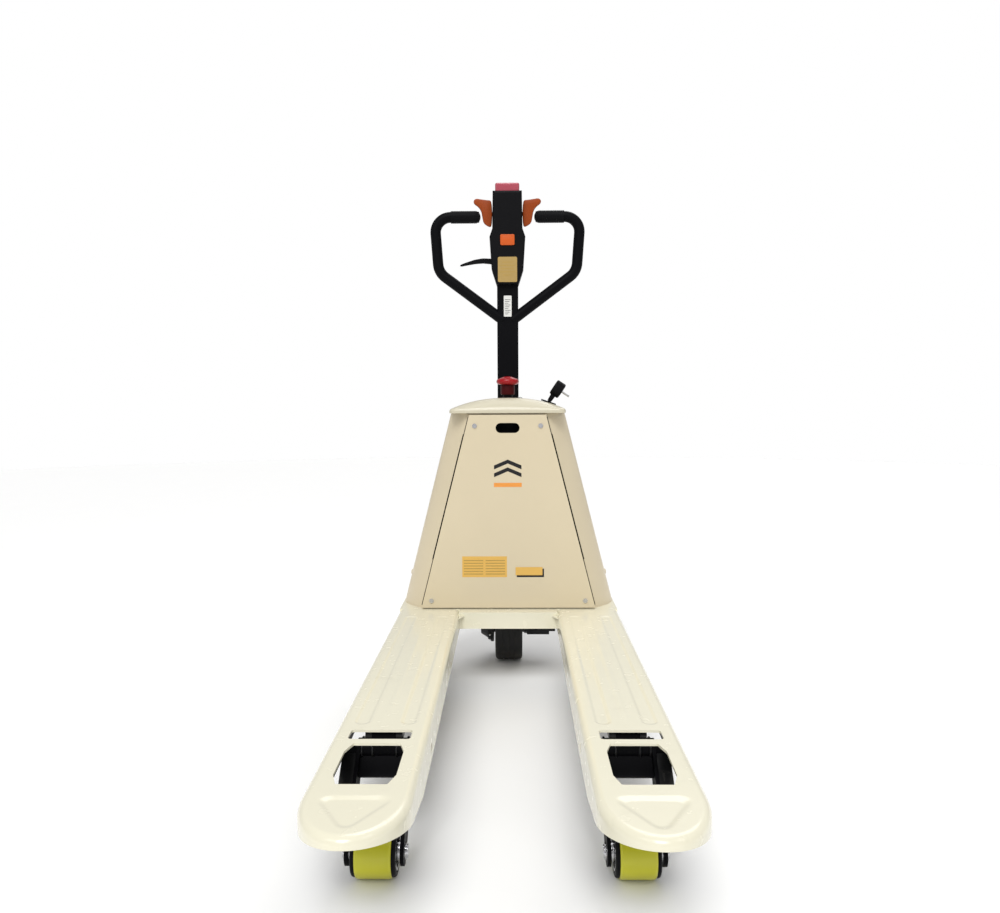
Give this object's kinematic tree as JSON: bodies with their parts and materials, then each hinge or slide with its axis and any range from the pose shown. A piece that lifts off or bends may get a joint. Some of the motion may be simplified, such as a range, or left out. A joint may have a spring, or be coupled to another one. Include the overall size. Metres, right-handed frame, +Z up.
{
  "type": "electric pallet truck",
  "caption": "Semi-electric pallet truck with channel forks on tandem linkage, tapered battery housing, steered drive wheel and looped tiller handle.",
  "frame": {"origin": "bottom centre of the truck's bounding box, on the floor", "axes": "+Z up, forks point along -Y, +X to the right when facing the fork tips' side from the front"},
  "size_m": [0.56, 1.491, 1.345],
  "materials": {
    "ivory_enamel": "glossy baked enamel",
    "cream_powder": "satin powder coat",
    "cream_plastic": "moulded cover",
    "black_paint": "satin black",
    "black_steel": "black oxide and paint",
    "bright_steel": "turned and plated",
    "chrome_rod": "hard chrome",
    "cast_metal": "painted casting",
    "alloy": "die cast",
    "yellow_tread": "cast polyurethane",
    "black_tread": "moulded tread",
    "black_rubber": "soft grip",
    "black_plastic": "textured moulding",
    "red_plastic": "glossy moulding",
    "rose_plastic": "glossy moulding",
    "orange_plastic": "moulding",
    "battery_plastic": "moulded case"
  },
  "bodies": {
    "base": {"base_yoke": "black_steel", "yoke_pins": "bright_steel"},
    "drive_unit": {"wheel_bracket": "black_steel", "steer_bearing": "bright_steel", "pump_body": "cast_metal", "lift_cylinder": "cast_metal", "drive_motor": "cast_metal", "brake_housing": "cast_metal", "drive_axle": "bright_steel", "unit_bolts": "bright_steel", "hinge_pin": "bright_steel"},
    "drive_wheel": {"drive_tyre": "black_tread", "drive_rim": "cast_metal"},
    "piston": {"piston_rod": "chrome_rod"},
    "plunger": {"pump_plunger": "bright_steel"},
    "valve": {"valve_lever": "bright_steel"},
    "handle": {"handle_yoke": "black_paint", "handle_tube": "black_paint", "handle_loop": "black_paint", "grip_sleeves": "black_rubber", "head_shell_front": "black_plastic", "head_shell_rear": "black_plastic", "head_frame": "black_steel", "pump_roller": "bright_steel"},
    "thumb_wings": {"butterfly": "orange_plastic"},
    "reverse_button": {"belly_button": "rose_plastic"},
    "horn": {"horn_button": "orange_plastic"},
    "lowering_lever": {"finger_lever": "black_plastic"},
    "release": {"release_rod": "bright_steel"},
    "fork_frame": {"fork_left": "ivory_enamel", "fork_right": "ivory_enamel", "heel_crossmember": "ivory_enamel", "mast_box": "cream_powder", "front_panel": "cream_powder", "panel_screws": "bright_steel", "top_cover": "cream_plastic", "rear_cover": "cream_powder", "battery_pack": "battery_plastic", "motor_controller": "alloy", "battery_charger": "alloy", "stop_switch": "black_plastic", "key_barrel": "bright_steel", "charger_lead": "black_rubber", "plug_grommet": "black_rubber", "plug_body": "black_plastic", "plug_pins": "bright_steel", "arm_pivot_pins": "bright_steel"},
    "knob": {"stop_knob": "red_plastic"},
    "key": {"ignition_key": "bright_steel"},
    "rocker": {"rocker_shaft": "black_steel"},
    "rod_left": {"push_rod_left": "black_steel"},
    "arm_left": {"load_arm_left": "black_paint", "roller_axle_left": "bright_steel"},
    "wheel_left": {"roller_core_left": "bright_steel", "roller_tyre_left": "yellow_tread"},
    "rod_right": {"push_rod_right": "black_steel"},
    "arm_right": {"load_arm_right": "black_paint", "roller_axle_right": "bright_steel"},
    "wheel_right": {"roller_core_right": "bright_steel", "roller_tyre_right": "yellow_tread"}
  },
  "joints": [
    {"name": "steering", "type": "hinge", "parent": "base", "child": "drive_unit", "pos_m": [0, 0.6405, 0.244], "axis": [0, 0, 1], "range_deg": [-90, 90]},
    {"name": "drive_wheel_spin", "type": "hinge", "parent": "drive_unit", "child": "drive_wheel", "pos_m": [0, 0.6405, 0.105], "axis": [1, 0, 0], "continuous": true},
    {"name": "lift", "type": "slide", "parent": "base", "child": "fork_frame", "axis": [0, 0, 1], "range_m": [-0.115, 0]},
    {"name": "piston_stroke", "type": "slide", "parent": "drive_unit", "child": "piston", "axis": [0, 0, 1], "range_m": [-0.115, 0]},
    {"name": "handle_tilt", "type": "hinge", "parent": "drive_unit", "child": "handle", "pos_m": [0, 0.6965, 0.35], "axis": [-1, 0, 0], "range_deg": [0, 80], "stiffness_Nm_per_rad": 50, "springref_deg": -11.46},
    {"name": "pump_stroke", "type": "slide", "parent": "drive_unit", "child": "plunger", "axis": [0, 0, 1], "range_m": [-0.0318, 0]},
    {"name": "valve_turn", "type": "hinge", "parent": "drive_unit", "child": "valve", "pos_m": [0.045, 0.6505, 0.296], "axis": [1, 0, 0], "range_deg": [0, 18.1]},
    {"name": "thumb_wing_turn", "type": "hinge", "parent": "handle", "child": "thumb_wings", "pos_m": [0, 0.6965, 1.262], "axis": [1, 0, 0], "range_deg": [-30, 30], "stiffness_Nm_per_rad": 1.5},
    {"name": "reverse_button_press", "type": "slide", "parent": "handle", "child": "reverse_button", "axis": [0, 0, -1], "range_m": [0, 0.008], "stiffness_N_per_m": 500, "springref_m": -0.006},
    {"name": "horn_button_press", "type": "slide", "parent": "handle", "child": "horn", "axis": [0, 1, 0], "range_m": [0, 0.003], "stiffness_N_per_m": 500, "springref_m": -0.002},
    {"name": "finger_lever_pull", "type": "hinge", "parent": "handle", "child": "lowering_lever", "pos_m": [-0.034, 0.6965, 1.128], "axis": [0, 1, 0], "range_deg": [0, 18], "stiffness_Nm_per_rad": 1, "springref_deg": -5.73},
    {"name": "release_pull", "type": "slide", "parent": "handle", "child": "release", "axis": [0, 0, 1], "range_m": [0, 0.0081]},
    {"name": "stop_knob_press", "type": "slide", "parent": "fork_frame", "child": "knob", "axis": [0, 0, -1], "range_m": [0, 0.007]},
    {"name": "key_turn", "type": "hinge", "parent": "fork_frame", "child": "key", "pos_m": [0.034, 0.5795, 0.728], "axis": [0, 0, -1], "range_deg": [0, 90]},
    {"name": "rocker_turn", "type": "hinge", "parent": "fork_frame", "child": "rocker", "pos_m": [0, 0.4639, 0.176], "axis": [1, 0, 0], "range_deg": [0, 44.52]},
    {"name": "push_rod_travel_left", "type": "slide", "parent": "fork_frame", "child": "rod_left", "axis": [0, 1, 0], "range_m": [0, 0.02274]},
    {"name": "load_arm_swing_left", "type": "hinge", "parent": "fork_frame", "child": "arm_left", "pos_m": [-0.2025, -0.3642, 0.156], "axis": [-1, 0, 0], "range_deg": [0, 44.52]},
    {"name": "load_wheel_spin_left", "type": "hinge", "parent": "arm_left", "child": "wheel_left", "pos_m": [-0.2025, -0.48084, 0.04], "axis": [1, 0, 0], "continuous": true},
    {"name": "push_rod_travel_right", "type": "slide", "parent": "fork_frame", "child": "rod_right", "axis": [0, 1, 0], "range_m": [0, 0.02274]},
    {"name": "load_arm_swing_right", "type": "hinge", "parent": "fork_frame", "child": "arm_right", "pos_m": [0.2025, -0.3642, 0.156], "axis": [-1, 0, 0], "range_deg": [0, 44.52]},
    {"name": "load_wheel_spin_right", "type": "hinge", "parent": "arm_right", "child": "wheel_right", "pos_m": [0.2025, -0.48084, 0.04], "axis": [1, 0, 0], "continuous": true}
  ],
  "couplings": [
    {"joint": "piston_stroke", "follows": "lift", "ratio": 1},
    {"joint": "pump_stroke", "follows": "handle_tilt", "m_per_rad": -0.0227},
    {"joint": "valve_turn", "follows": "finger_lever_pull", "ratio": 1},
    {"joint": "release_pull", "follows": "finger_lever_pull", "m_per_rad": 0.0255},
    {"joint": "rocker_turn", "follows": "lift", "rad_per_m": -6.7529},
    {"joint": "push_rod_travel_left", "follows": "lift", "ratio": -0.19753},
    {"joint": "load_arm_swing_left", "follows": "lift", "rad_per_m": -6.7529},
    {"joint": "push_rod_travel_right", "follows": "lift", "ratio": -0.19753},
    {"joint": "load_arm_swing_right", "follows": "lift", "rad_per_m": -6.7529}
  ]
}
